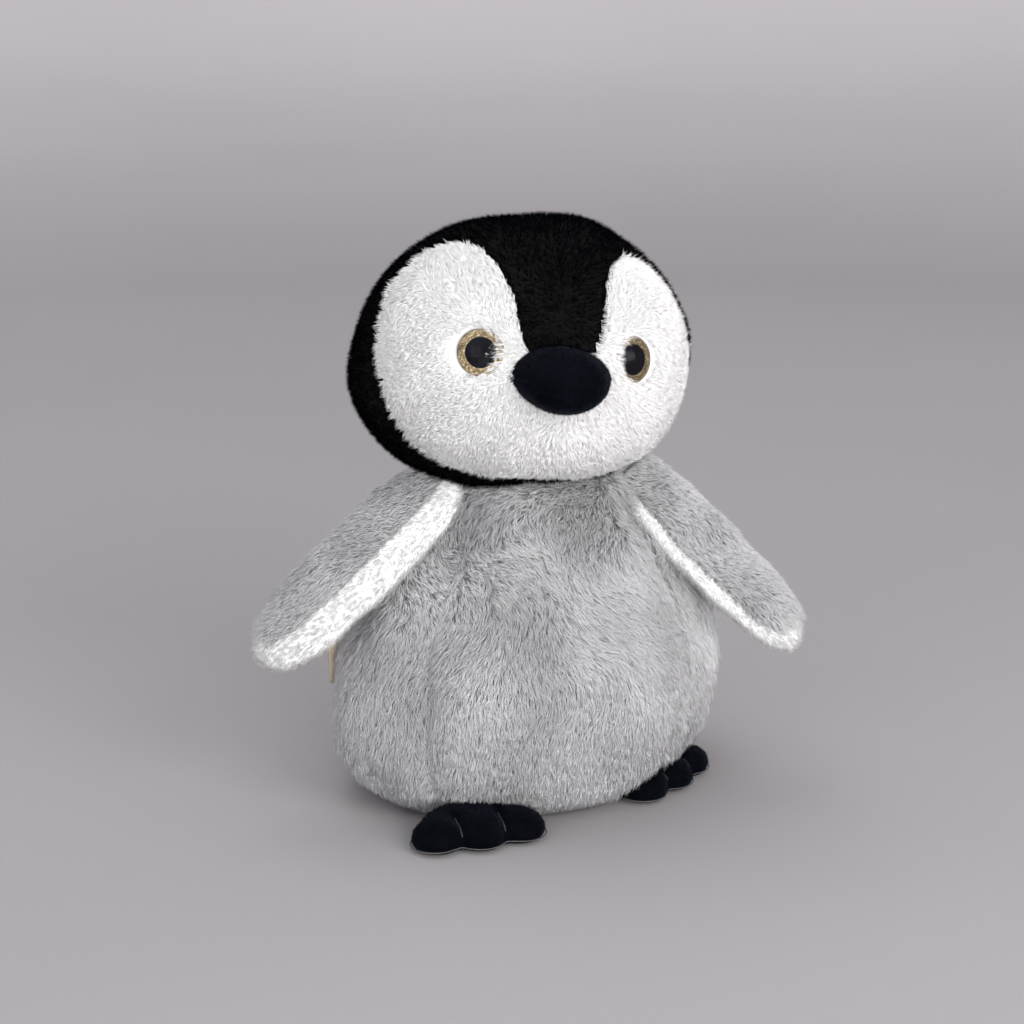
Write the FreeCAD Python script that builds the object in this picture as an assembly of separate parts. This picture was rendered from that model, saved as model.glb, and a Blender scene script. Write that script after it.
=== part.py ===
import FreeCAD, Part
import math
import os
from FreeCAD import Matrix, Placement, Rotation, Vector

# A plush penguin chick that stands on z = 0, faces -Y and has its own left on +X.
# The origin is on the floor, under the middle of the body. All sizes are in millimetres.

X, Y, Z = Vector(1, 0, 0), Vector(0, 1, 0), Vector(0, 0, 1)
ORIGIN = Vector(0, 0, 0)
SIDES = {"left": 1, "right": -1}
FAR = 400.0  # larger than the whole toy, for cutting boxes
GAP = 0.3  # between soft solids that lie inside each other

# Body: oval levels of the outside of the fur (height, half width, half depth, and how far the
# oval's middle has sagged towards the toy's right).
BODY_LEVELS = [
    (0, 66, 49, 5), (6, 79, 57, 5), (14, 84, 63, 4), (28, 86.5, 69, 3), (50, 88, 74, 0),
    (70, 86, 74, -1), (86, 78, 71, -1), (100, 67, 65, 0), (118, 50, 49, 0), (134, 34, 33, 0),
]
BODY_PILE = 6.0  # long pile and its backing, pressed flat
BELLY_HALF_ANGLE = 48.0  # from straight ahead to the belly's side seam
BASE_HALF_WIDTH, BASE_HALF_DEPTH = 58.0, 42.0  # the sewn-in base oval

# Loose pellets in a pouch that keep the toy upright.
POUCH_CENTRE = Vector(-3, 5, 23)
POUCH_RADII = (50.0, 36.0, 15.0)
POUCH_CLOTH = 1.0

# Neck: a ball of stuffing about the point that the head turns on.
NECK_POINT = Vector(0, 0, 142)
NECK_BALL = 20.0
NECK_SEAM_RADIUS = 26.0
THREAD = 0.6  # radius of a sewing thread drawn tight

# Head: rounder above its widest level than below it, turned and leaning as the toy is posed.
HEAD_WIDE, HEAD_DEEP = 76.0, 64.0
HEAD_ABOVE, HEAD_BELOW = 63.0, 54.5  # the crown's and the underside's distance from the widest level
ROUND_ABOVE, ROUND_BELOW = 2.1, 2.5  # 2 is a plain oval, more is squarer
HEAD_CENTRE = Vector(-4, -4, 198)
HEAD_TURN, HEAD_LEAN = -11.0, 6.0
HEAD_PILE = 6.0
# Half of the white face, from the forehead point round to the chin, as (x, z) from the head's centre.
FACE_OUTLINE = [
    (0, 13), (12, 14), (17, 21), (20, 34.5), (25, 46.5), (35, 50), (48, 45), (60, 33),
    (67, 14), (67, -4), (60, -23), (44, -37), (22, -43), (0, -42),
]
FACE_FROM = -10.0  # the face is cut from what lies ahead of this depth

# Safety eyes: a clear dome over a glitter iris and a pupil, on a shank with a washer inside the skin.
EYE_X, EYE_Z = 34.5, 13.0
EYE_RADIUS, PUPIL_RADIUS = 10.0, 6.6
EYE_SINK = 4.6  # how far the back of the eye lies under the fur's outside
EYE_BACK, IRIS_THICK, DOME_HEIGHT = 1.5, 0.5, 4.8
SHANK_RADIUS, SHANK_LENGTH = 2.0, 14.0
WASHER_RADIUS, WASHER_THICK, WASHER_DEPTH = 8.0, 1.5, 6.5

# Beak: a stuffed bill in two halves.
BEAK_CENTRE = Vector(0, -62, 4)
BEAK_RADII = (21.5, 19.0, 12.5)
BEAK_CLOTH = 1.4

# Flippers: pillows (distance from the shoulder seam, half width, half thickness).
FLIPPER_LEVELS = [
    (2, 15, 5), (14, 18, 7.5), (36, 21.5, 9.5), (60, 22.5, 9.5), (82, 20, 8), (95, 14, 5.5),
    (102, 8, 3.5),
]
FLIPPER_CLOTH = 2.4
# shoulder = middle of the seam; droop below level; swing brings the whole flipper forward; twist
# turns the outer face forward
FLIPPERS = {
    "right": {"shoulder": Vector(-51, -5, 142), "swing": 0.0, "droop": 39.0, "twist": 27.0},
    "left": {"shoulder": Vector(49, -15, 139), "swing": 41.0, "droop": 43.0, "twist": 3.0},
}

# Feet: three round toes on a short sole, sewn under the front of the belly.
TOE_RADII = (11.0, 11.5, 11.0)
TOE_SPREAD = 19.5
TOE_AHEAD = (20.0, 22.5, 20.0)  # from the ankle seam to each toe's centre
FOOT_HEEL_HALF_WIDTH = 26.0
FOOT_HEIGHT, SOLE_THICK, FOOT_CLOTH = 13.0, 2.0, 1.8
FOOT_ROUNDING = 4.5
TOE_STITCH_FROM, TOE_STITCH_SHARE = 0.5, 0.2  # shares of the foot's length
ANKLE_HEIGHT = 6.5
FOOT_CLEARANCE = 1.0
FOOT_LIFT = 14.0  # degrees that the notch in the belly leaves room for
FEET = {
    "right": {"ankle": Vector(-51, -43, 0), "splay": 7.0},
    "left": {"ankle": Vector(41, -22, 0), "splay": 31.0},
}

# Small sewn details.
STITCH_COUNT, STITCH_LENGTH, STITCH_PITCH, STITCH_FROM = 9, 5.0, 4.5, 46.0
LABEL_SIZE = (9.0, 0.6, 18.0)
LABEL_HEIGHT, LABEL_ANGLE = 62.0, 12.0


def placed(shape, placement):
    """The shape moved by a placement."""
    copy = shape.copy()
    copy.Placement = placement.multiply(copy.Placement)
    return copy


def box(low, high):
    size = high - low
    return Part.makeBox(size.x, size.y, size.z, low)


def half_space(axis, side):
    """Everything on one side of the plane through the origin that is square to an axis."""
    low, high = Vector(-FAR, -FAR, -FAR), Vector(FAR, FAR, FAR)
    corner = [low.x, low.y, low.z] if side > 0 else [high.x, high.y, high.z]
    corner[(X, Y, Z).index(axis)] = 0.0
    cut = Vector(*corner)
    return box(cut, high) if side > 0 else box(low, cut)


def lofted_ovals(sections):
    """A solid through ovals, each given as (half width, half depth, placement)."""
    wires = []
    for wide, deep, placement in sections:
        oval = Part.Ellipse(ORIGIN, wide, deep).toShape()
        wires.append(placed(Part.Wire([oval]), placement))
    return Part.makeLoft(wires, True, False)


def body_solid(inset):
    """The body's outside, or a smaller copy that lies inset under it."""
    top = BODY_LEVELS[-1][0]
    bottom = inset / 2
    shrink = (top - inset - bottom) / top
    return lofted_ovals(
        [(wide - inset, deep - inset, Placement(Vector(-sag, 0, bottom + z * shrink), Rotation()))
         for z, wide, deep, sag in BODY_LEVELS]
    )


def oval_ball(wide, deep, above, below, squareness=(2.0, 2.0)):
    """A ball of different heights above and below its widest level, squared off by two amounts."""
    outline = []
    for degrees in range(-90, 91, 15):
        c, s = math.cos(math.radians(degrees)), math.sin(math.radians(degrees))
        high, power = (above, squareness[0]) if s > 0 else (below, squareness[1])
        reach = wide * abs(c) ** (2 / power) if abs(degrees) < 90 else 0.0
        outline.append(Vector(reach, 0, math.copysign(high * abs(s) ** (2 / power), s)))
    curve = Part.BSplineCurve()
    curve.interpolate(Points=outline, InitialTangent=X, FinalTangent=X * -1)
    axis = Part.LineSegment(outline[-1], outline[0])
    half = Part.Face(Part.Wire([curve.toShape(), axis.toShape()]))
    squeeze = Matrix()
    squeeze.scale(1, deep / wide, 1)
    return half.revolve(ORIGIN, Z, 360).transformGeometry(squeeze)


def ellipsoid(radii, inset=0.0):
    wide, deep, high = (r - inset for r in radii)
    return oval_ball(wide, deep, high, high)


def main_piece(shape):
    """The largest solid of a cut shape, without slivers that the cut left."""
    return max(shape.Solids, key=lambda solid: solid.Volume)


def stitch(start, end):
    """A short straight thread."""
    run = end - start
    return Part.makeCylinder(THREAD, run.Length, start, run)


# ---- body ----

def foot_placement(side):
    """From the foot's own frame, toes along -Y from the ankle seam, to the toy's."""
    splay = SIDES[side] * FEET[side]["splay"]
    return Placement(FEET[side]["ankle"], Rotation(Z, splay))


def foot_notch(side):
    """The room under the belly in which a foot lies and lifts."""
    half_width = TOE_SPREAD + max(TOE_RADII) + 3 * FOOT_CLEARANCE
    back, front = FOOT_HEIGHT / 2 + FOOT_CLEARANCE, -2 * FOOT_HEIGHT - max(TOE_AHEAD)
    roof = FOOT_HEIGHT + FOOT_CLEARANCE
    rise = -front * math.tan(math.radians(FOOT_LIFT))
    corners = [(back, -1), (back, roof), (0, roof), (front, roof + rise), (front, -1)]
    points = [Vector(-half_width, y, z) for y, z in corners]
    side_face = Part.Face(Part.makePolygon(points + points[:1]))
    return placed(side_face.extrude(X * 2 * half_width), foot_placement(side))


def pellet_pouch():
    """The pouch, the pellets in it as one solid, and the room that the pouch takes up."""
    bag = ellipsoid(POUCH_RADII).cut(ellipsoid(POUCH_RADII, POUCH_CLOTH))
    fill = ellipsoid(POUCH_RADII, POUCH_CLOTH + GAP)
    at = Placement(POUCH_CENTRE, Rotation())
    return [placed(shape, at) for shape in (bag, fill, ellipsoid(POUCH_RADII, -GAP))]


def belly_wedge():
    """The sector of the body that the belly panel fills."""
    angle = math.radians(BELLY_HALF_ANGLE)
    reach = Vector(FAR * math.sin(angle), -FAR * math.cos(angle), 0)
    points = [ORIGIN, reach, Vector(-reach.x, reach.y, 0), ORIGIN]
    return Part.Face(Part.makePolygon(points)).extrude(Z * FAR)


def back_stitches():
    """The ladder stitch that closes the centre back seam after stuffing."""
    threads = []
    for i in range(STITCH_COUNT):
        height = STITCH_FROM + i * STITCH_PITCH
        half_depth = surface_depth(height)
        start = Vector(-STITCH_LENGTH / 2, half_depth + 2 * THREAD, height)
        threads.append(stitch(start, start + X * STITCH_LENGTH))
    return Part.makeCompound(threads)


def surface_depth(height):
    """Half the body's depth at a height, straight between its levels."""
    for low, high in zip(BODY_LEVELS, BODY_LEVELS[1:]):
        if low[0] <= height <= high[0]:
            return low[2] + (high[2] - low[2]) * (height - low[0]) / (high[0] - low[0])


def care_label():
    """A blank folded tab in the right side seam."""
    width, thick, tall = LABEL_SIZE
    reach = BODY_LEVELS[4][1] - BODY_PILE
    tab = box(Vector(reach, -thick / 2, -tall / 2), Vector(reach + width, thick / 2, tall / 2))
    turn = Rotation(Z, 180 - LABEL_ANGLE)
    return placed(tab, Placement(Vector(0, 0, LABEL_HEIGHT), turn))


def body_parts():
    room = Part.makeSphere(NECK_BALL + 2 * GAP, NECK_POINT)
    for side in SIDES:
        room = room.fuse(foot_notch(side))
    label = care_label()
    sag = BODY_LEVELS[0][3]
    base_oval = lofted_ovals(
        [(BASE_HALF_WIDTH, BASE_HALF_DEPTH, Placement(Vector(-sag, 0, z), Rotation()))
         for z in (-1, BODY_PILE / 2)]
    )
    skin = body_solid(0).cut(body_solid(BODY_PILE)).cut(room)
    sides = skin.cut(base_oval).cut(label)
    wedge = belly_wedge()
    back = sides.cut(wedge)
    pouch, fill, pouch_room = pellet_pouch()
    stuffing = body_solid(BODY_PILE + GAP).cut(room).cut(pouch_room)
    return {
        "belly_panel": main_piece(sides.common(wedge)),
        "back_panel_left": back.common(half_space(X, 1)),
        "back_panel_right": back.common(half_space(X, -1)),
        "base_panel": skin.common(base_oval),
        "body_stuffing": stuffing,
        "pellet_pouch": pouch,
        "pellet_fill": fill,
        "back_closing_stitches": back_stitches(),
        "care_label": label,
    }


# ---- neck ----

def neck_parts():
    top = BODY_LEVELS[-1][0]
    seam = Part.makeTorus(NECK_SEAM_RADIUS, THREAD, Vector(0, 0, top + GAP + THREAD))
    return {"neck_seam_thread": seam, "neck_stuffing": Part.makeSphere(NECK_BALL, NECK_POINT)}


# ---- head, worked out about its own centre and then placed ----

HEAD_PLACEMENT = Placement(HEAD_CENTRE, Rotation(Z, HEAD_TURN).multiply(Rotation(Y, HEAD_LEAN)))


def head_solid(inset):
    sizes = (size - inset for size in (HEAD_WIDE, HEAD_DEEP, HEAD_ABOVE, HEAD_BELOW))
    return oval_ball(*sizes, (ROUND_ABOVE, ROUND_BELOW))


def head_surface(x, z):
    """The point of the head's front at (x, z), and the way out of the head there."""
    high, n = (HEAD_ABOVE, ROUND_ABOVE) if z > 0 else (HEAD_BELOW, ROUND_BELOW)
    rho = (1 - abs(z / high) ** n) ** (1 / n)
    y = -HEAD_DEEP * math.sqrt(rho ** 2 - (x / HEAD_WIDE) ** 2)
    up = math.copysign(abs(z) ** (n - 1) / high ** n * rho ** (2 - n), z)
    outward = Vector(x / HEAD_WIDE ** 2, y / HEAD_DEEP ** 2, up)
    return Vector(x, y, z), outward.normalize()


def face_prism():
    """The front of the head inside the left half of the face, reaching a little past the middle."""
    points = [Vector(x, FACE_FROM, z) for x, z in FACE_OUTLINE]
    edge = Part.BSplineCurve()
    edge.interpolate(points)
    past = X * -HEAD_PILE
    corners = [points[-1], points[-1] + past, points[0] + past, points[0]]
    lines = [Part.LineSegment(a, b).toShape() for a, b in zip(corners, corners[1:])]
    return Part.Face(Part.Wire([edge.toShape()] + lines)).extrude(Y * -HEAD_DEEP)


def head_skin():
    """Face and cap of each side: the left ones and their mirror images."""
    shell = head_solid(0).cut(head_solid(HEAD_PILE)).common(half_space(X, 1))
    face, cap = shell.common(face_prism()), shell.cut(face_prism())
    return {"left": (face, cap), "right": (face.mirror(ORIGIN, X), cap.mirror(ORIGIN, X))}


def eye_frame(side):
    point, outward = head_surface(SIDES[side] * EYE_X, EYE_Z)
    return Placement(point - outward * EYE_SINK, Rotation(Z, outward))


def disc(radius, low, high, hole=0.0):
    """A round plate about Z between two heights, with an optional hole."""
    plate = Part.makeCylinder(radius, high - low, Vector(0, 0, low))
    return plate.cut(Part.makeCylinder(hole, high - low, Vector(0, 0, low))) if hole else plate


def eye_parts(side):
    """The pieces of one safety eye, its back at height 0 and looking along +Z."""
    iris = EYE_BACK + IRIS_THICK
    bulge = (EYE_RADIUS ** 2 + DOME_HEIGHT ** 2) / (2 * DOME_HEIGHT)
    ball = Part.makeSphere(bulge, Vector(0, 0, iris + DOME_HEIGHT - bulge))
    pieces = {
        "dome": ball.common(disc(EYE_RADIUS, iris, iris + DOME_HEIGHT)),
        "glitter_iris": disc(EYE_RADIUS - GAP, EYE_BACK, iris, PUPIL_RADIUS),
        "pupil": disc(PUPIL_RADIUS, EYE_BACK, iris),
        "shank": disc(EYE_RADIUS, 0, EYE_BACK).fuse(disc(SHANK_RADIUS, -SHANK_LENGTH, 0)),
        "washer": disc(WASHER_RADIUS, -WASHER_DEPTH - WASHER_THICK, -WASHER_DEPTH, SHANK_RADIUS),
    }
    frame = eye_frame(side)
    return {f"eye_{name}_{side}": placed(piece, frame) for name, piece in pieces.items()}


def eye_room(side):
    """The hollow that an eye, its shank and its washer fill in the skin and the stuffing."""
    room = disc(EYE_RADIUS + GAP, -GAP / 2, 4 * DOME_HEIGHT)
    room = room.fuse(disc(SHANK_RADIUS + GAP, -SHANK_LENGTH - GAP, 0))
    washer = disc(WASHER_RADIUS + GAP, -WASHER_DEPTH - WASHER_THICK - GAP, GAP - WASHER_DEPTH)
    return placed(room.fuse(washer), eye_frame(side))


def beak_parts():
    at = Placement(BEAK_CENTRE, Rotation())
    outer, inner, fill = (
        placed(ellipsoid(BEAK_RADII, inset), at)
        for inset in (0, BEAK_CLOTH, BEAK_CLOTH + GAP)
    )
    head = head_solid(-GAP)
    bill = outer.cut(inner).cut(head)
    above = placed(half_space(Z, 1), at)
    below = placed(half_space(Z, -1), at)
    return {
        "beak_upper": bill.common(above),
        "beak_lower": bill.common(below),
        "beak_stuffing": fill.cut(head),
    }


def head_parts():
    neck = HEAD_PLACEMENT.inverse().multVec(NECK_POINT)
    neck_room = Part.makeSphere(NECK_BALL + 2 * GAP, neck)
    parts = {"head_stuffing": head_solid(HEAD_PILE + GAP).cut(neck_room)}
    for side, (face, cap) in head_skin().items():
        eye = eye_room(side)
        parts["head_stuffing"] = parts["head_stuffing"].cut(eye)
        parts[f"face_{side}"] = face.cut(eye)
        parts[f"head_cap_{side}"] = cap.cut(neck_room)
        parts.update(eye_parts(side))
    parts.update(beak_parts())
    return {name: placed(shape, HEAD_PLACEMENT) for name, shape in parts.items()}


# ---- flippers: length along +X, width along Y, outer face up, then placed ----

def flipper_placement(side):
    """Mirror-like placing: the seam's middle at the shoulder, swung, drooping and twisted forward."""
    pose, sign = FLIPPERS[side], SIDES[side]
    facing = Rotation(Z, 0 if sign > 0 else 180)
    swing = Rotation(Z, -sign * pose["swing"])
    droop = Rotation(Y, sign * pose["droop"])
    twist = Rotation(X, sign * pose["twist"])
    return Placement(pose["shoulder"], swing.multiply(droop).multiply(facing).multiply(twist))


def flipper_solid(inset):
    """The pillow's outside, or a smaller copy under it."""
    first, last = FLIPPER_LEVELS[0][0], FLIPPER_LEVELS[-1][0]
    length = last - first
    across = Rotation(Y, 90).multiply(Rotation(Z, 90))
    sections = []
    for along, wide, thick in FLIPPER_LEVELS:
        at = first + inset + (along - first) * (length - 2 * inset) / length
        shrink = min(inset, thick / 2)
        sections.append((wide - shrink, thick - shrink, Placement(X * at, across)))
    return lofted_ovals(sections)


def flipper_parts(side):
    outer, inner = flipper_solid(0), flipper_solid(FLIPPER_CLOTH)
    cloth = outer.cut(inner)
    half_width = FLIPPER_LEVELS[0][1]
    parts = {
        f"flipper_{side}_outer": cloth.common(half_space(Z, 1)),
        f"flipper_{side}_lining": cloth.common(half_space(Z, -1)),
        f"flipper_{side}_stuffing": flipper_solid(FLIPPER_CLOTH + GAP),
        f"flipper_{side}_seam_thread": stitch(Y * -half_width, Y * half_width),
    }
    return {name: placed(shape, flipper_placement(side)) for name, shape in parts.items()}


# ---- feet ----

def foot_outline():
    """A wire round the heel and the three toes, toes along -Y."""
    toes = []
    for i, (radius, ahead) in enumerate(zip(TOE_RADII, TOE_AHEAD)):
        centre = Vector((i - 1) * TOE_SPREAD, -ahead, 0)
        toes.append(Part.makeCylinder(radius, FOOT_HEIGHT, centre))
    middle = [
        Vector(-FOOT_HEEL_HALF_WIDTH, 0, 0), Vector(FOOT_HEEL_HALF_WIDTH, 0, 0),
        Vector(TOE_SPREAD + TOE_RADII[2], -TOE_AHEAD[2], 0),
        Vector(-TOE_SPREAD - TOE_RADII[0], -TOE_AHEAD[0], 0),
    ]
    foot = Part.Face(Part.makePolygon(middle + middle[:1])).extrude(Z * FOOT_HEIGHT)
    for toe in toes:
        foot = foot.fuse(toe)
    return foot.removeSplitter()


def foot_block(inset):
    """The foot's outside with a rounded top, or a smaller copy under it."""
    foot = foot_outline()
    if inset:
        face = [f for f in foot.Faces if f.normalAt(0, 0).z < -0.9][0]
        wire = face.OuterWire.makeOffset2D(-inset)
        foot = Part.Face(wire).extrude(Z * (FOOT_HEIGHT - SOLE_THICK - inset))
        foot.translate(Z * SOLE_THICK)
    top = [e for e in foot.Edges
           if min(v.Point.z for v in e.Vertexes) > foot.BoundBox.ZMax - 0.01]
    return foot.makeFillet(FOOT_ROUNDING - inset, top)


def foot_parts(side):
    outer, inner, fill = foot_block(0), foot_block(FOOT_CLOTH), foot_block(FOOT_CLOTH + GAP)
    sole_slab = box(Vector(-FAR, -FAR, -1), Vector(FAR, FAR, SOLE_THICK))
    reach = TOE_AHEAD[1] + TOE_RADII[1]
    threads = []
    for x in (-TOE_SPREAD / 2, TOE_SPREAD / 2):
        start = Vector(x, -reach * TOE_STITCH_FROM, FOOT_HEIGHT + 2 * THREAD)
        threads.append(stitch(start, start + Vector(0, -reach * TOE_STITCH_SHARE, 0)))
    parts = {
        f"foot_{side}_upper": outer.cut(sole_slab).cut(inner),
        f"foot_{side}_sole": outer.common(sole_slab),
        f"foot_{side}_stuffing": fill,
        f"foot_{side}_toe_stitches": Part.makeCompound(threads),
    }
    return {name: placed(shape, foot_placement(side)) for name, shape in parts.items()}


def main():
    os.makedirs("parts", exist_ok=True)
    parts = {**body_parts(), **neck_parts(), **head_parts()}
    for side in SIDES:
        parts.update(flipper_parts(side))
        parts.update(foot_parts(side))
    for name, shape in parts.items():
        shape.exportStep(f"parts/{name}.step")
        print(name, len(shape.Solids), round(shape.Volume), shape.isValid())


main()
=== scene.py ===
"""A plush penguin chick: fur, velour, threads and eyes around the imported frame.

Shapes are worked out in millimetres, each in its part's own frame, and become metres in the meshes.
"""
import math
from collections import namedtuple

import bmesh
import bpy
import numpy as np
from mathutils import Matrix, Vector
from mathutils.bvhtree import BVHTree
from mathutils.kdtree import KDTree

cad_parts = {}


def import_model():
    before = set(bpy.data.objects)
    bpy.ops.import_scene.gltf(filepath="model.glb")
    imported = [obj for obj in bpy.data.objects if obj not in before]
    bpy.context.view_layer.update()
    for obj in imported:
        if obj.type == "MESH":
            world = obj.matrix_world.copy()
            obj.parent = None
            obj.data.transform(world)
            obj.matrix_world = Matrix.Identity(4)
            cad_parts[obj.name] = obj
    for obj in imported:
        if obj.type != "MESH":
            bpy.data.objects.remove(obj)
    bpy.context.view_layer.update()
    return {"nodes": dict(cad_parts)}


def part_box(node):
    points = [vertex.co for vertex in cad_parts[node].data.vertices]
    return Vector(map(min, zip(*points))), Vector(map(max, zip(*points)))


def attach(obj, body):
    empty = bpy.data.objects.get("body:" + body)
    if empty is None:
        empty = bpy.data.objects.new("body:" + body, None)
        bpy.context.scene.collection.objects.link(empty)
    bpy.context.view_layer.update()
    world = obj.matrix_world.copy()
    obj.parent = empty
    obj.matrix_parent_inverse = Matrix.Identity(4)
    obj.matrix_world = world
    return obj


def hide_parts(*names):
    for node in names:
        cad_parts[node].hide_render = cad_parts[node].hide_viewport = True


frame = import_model()

MM = 0.001
SIDES = {"left": 1, "right": -1}
PALETTE_UV = "OFBake"  # strands are coloured by shade across and by root to tip upwards


def frame_at(place, *turns):
    """A part's own frame: turned by each (axis, degrees), the last one first, and moved to a place."""
    matrix = Matrix.Translation(place)
    for axis, degrees in turns:
        matrix = matrix @ Matrix.Rotation(math.radians(degrees), 4, axis)
    return np.array(matrix)


# Body: height, half width, half depth and sag to the toy's right of the cloth under the pile.
BODY_LEVELS = [
    (1.0, 54, 39, 2), (2.5, 62, 47, 2), (7, 71, 52, 2), (15, 77, 57.5, 2), (28, 81, 63, 2),
    (50, 83.5, 68, 0), (70, 81.5, 68, -1), (86, 75.5, 66, -1), (102, 67, 60, 0),
    (118, 58.5, 51, 0), (131, 50.5, 44, 0), (140, 44.5, 39.5, 0), (145, 37, 34, 0), (147.5, 24, 22, 0),
]
BELLY_SEAMS = {"left": 42.0, "right": 58.0}  # from straight ahead; the panel sits a little round
BASE_TOP, NECK_FROM = 3.0, 141.0  # heights that the base and the neck are held at

# Head, the same as the CAD model's, with the cloth lying under the fur.
HEAD_WIDE, HEAD_DEEP, HEAD_ABOVE, HEAD_BELOW = 76.0, 64.0, 63.0, 54.5
ROUND_ABOVE, ROUND_BELOW = 2.1, 2.5
HEAD_PLACE = frame_at((-4, -4, 198), ("Z", -11), ("Y", 6))
HEAD_INSET = 3.6
FACE_OUTLINE = [
    (0, 13), (12, 14), (17, 21), (20, 34.5), (25, 46.5), (35, 50), (48, 45), (60, 33),
    (67, 14), (67, -4), (60, -23), (44, -37), (22, -43), (0, -42),
]
EYE_X, EYE_Z, EYE_RADIUS, EYE_SINK, EYE_COVER = 34.5, 13.0, 10.0, 4.6, 3.2
BEAK_CENTRE, BEAK_RADII, BEAK_DROOP = (0, -61, 5.0), (20.2, 20.5, 14.4), 2.8

# Flippers: distance from the shoulder, half width, half thickness. The cloth lies a little
# forward of the middle, because the long pile hangs over the back edge. The left one is twisted
# 15 degrees further forward than its CAD solid.
FLIPPER_LEVELS = [
    (-12, 13, 5), (0, 17.5, 7.5), (14, 20, 8.5), (36, 21, 9), (60, 20.5, 8.5), (82, 18.5, 7.5),
    (96, 13, 5.5), (102.5, 6, 3.0),
]
FLIPPER_FORWARD = 2.0
LINING_WRAP = {"left": 4.0, "right": 12.0}  # how far the lining comes round the front edge
FLIPPER_PLACES = {
    "right": frame_at((-51, -5, 142), ("Y", -39.0), ("Z", 180), ("X", -27.0)),
    "left": frame_at((49, -15, 139), ("Z", -41.0), ("Y", 43.0), ("X", 18.0)),
}

# Feet: three round toes ahead of the ankle seam.
TOE_RADIUS, TOE_SPREAD, TOE_AHEAD = 11.0, 19.5, (20.0, 22.5, 20.0)
FOOT_MIDDLE, FOOT_HEIGHT, SOLE_SEAM = (0.0, -13.0), 13.0, 2.6
FOOT_PLACES = {
    "right": frame_at((-51, -43, 0), ("Z", -7.0)),
    "left": frame_at((41, -22, 0), ("Z", 31.0)),
}

# Pile: strand length and width, strands per square millimetre, degrees of lift, stray in
# radians, clump size, how far tips are drawn to their clump's, and bends in a strand.
Pile = namedtuple("Pile", "length width density lift stray clump pull bends")
LONG_PILE = Pile(9.2, 0.32, 2.3, 27, 0.30, 2.8, 0.38, 2)
FLIPPER_PILE = Pile(7.2, 0.32, 2.3, 30, 0.30, 2.6, 0.36, 2)
FACE_PILE = Pile(5.4, 0.32, 2.9, 42, 0.45, 2.6, 0.35, 2)
CAP_PILE = Pile(3.4, 0.40, 1.3, 48, 0.45, 1.6, 0.15, 1)
LINING_PILE = Pile(3.6, 0.34, 2.4, 36, 0.35, 2.2, 0.30, 1)
VELOUR_PILE = Pile(1.5, 0.34, 1.6, 55, 0.60, 1.0, 0.0, 1)
MOST_STRANDS = 19500  # in one piece

WALL_DISTANCE = 3.5  # metres from the toy to the backdrop's wall

Form = namedtuple("Form", "name body place rings voxel swell pins")


# ---- numbers and meshes ----

def world(points, place):
    """Millimetres in a part's own frame as metres in the shared frame."""
    return (points @ place[:3, :3].T + place[:3, 3]) * MM


def local(points, place):
    """Metres in the shared frame as millimetres in a part's own frame."""
    inverse = np.linalg.inv(place)
    return points / MM @ inverse[:3, :3].T + inverse[:3, 3]


def unit(vectors):
    return vectors / np.maximum(np.linalg.norm(vectors, axis=-1, keepdims=True), 1e-9)


def smooth_rows(rows, steps):
    """More rows of numbers between the given ones, on a smooth curve through them."""
    rows = np.array(rows, float)
    ends = np.vstack([2 * rows[0] - rows[1], rows, 2 * rows[-1] - rows[-2]])
    t = np.linspace(0, 1, steps, endpoint=False)[:, None]
    spans = []
    for a, b, c, d in zip(ends, ends[1:], ends[2:], ends[3:]):
        cubic = 3 * b - a - 3 * c + d
        spans.append(b + 0.5 * t * (c - a + t * (2 * a - 5 * b + 4 * c - d + t * cubic)))
    return np.vstack(spans + [rows[-1:]])


def waves(points, size, seed):
    """A smooth pattern between about -1 and 1 whose features have the given size."""
    rng = np.random.default_rng(seed)
    total = np.zeros(len(points))
    for _ in range(5):
        way = unit(rng.normal(size=3)) * (2 * math.pi / (size * rng.uniform(0.7, 1.5)))
        total += np.sin(points @ way + rng.uniform(0, 2 * math.pi))
    return total / 2.6


def read_points(mesh):
    flat = np.empty(len(mesh.vertices) * 3)
    mesh.vertices.foreach_get("co", flat)
    return flat.reshape(-1, 3)


def write_points(mesh, points):
    mesh.vertices.foreach_set("co", np.ascontiguousarray(points, dtype=np.float32).ravel())
    mesh.update()


def read_normals(mesh):
    flat = np.empty(len(mesh.vertices) * 3)
    mesh.vertex_normals.foreach_get("vector", flat)
    return flat.reshape(-1, 3)


def face_centres(mesh):
    flat = np.empty(len(mesh.polygons) * 3)
    mesh.polygons.foreach_get("center", flat)
    return flat.reshape(-1, 3)


def smooth_shaded(mesh):
    mesh.polygons.foreach_set("use_smooth", np.ones(len(mesh.polygons), bool))
    mesh.update()
    return mesh


def new_piece(name, mesh, body, material):
    """A mesh as a piece of the toy that moves with a body."""
    piece = bpy.data.objects.new(name, smooth_shaded(mesh))
    bpy.context.scene.collection.objects.link(piece)
    mesh.materials.clear()
    mesh.materials.append(material)
    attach(piece, body)
    return piece


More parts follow.
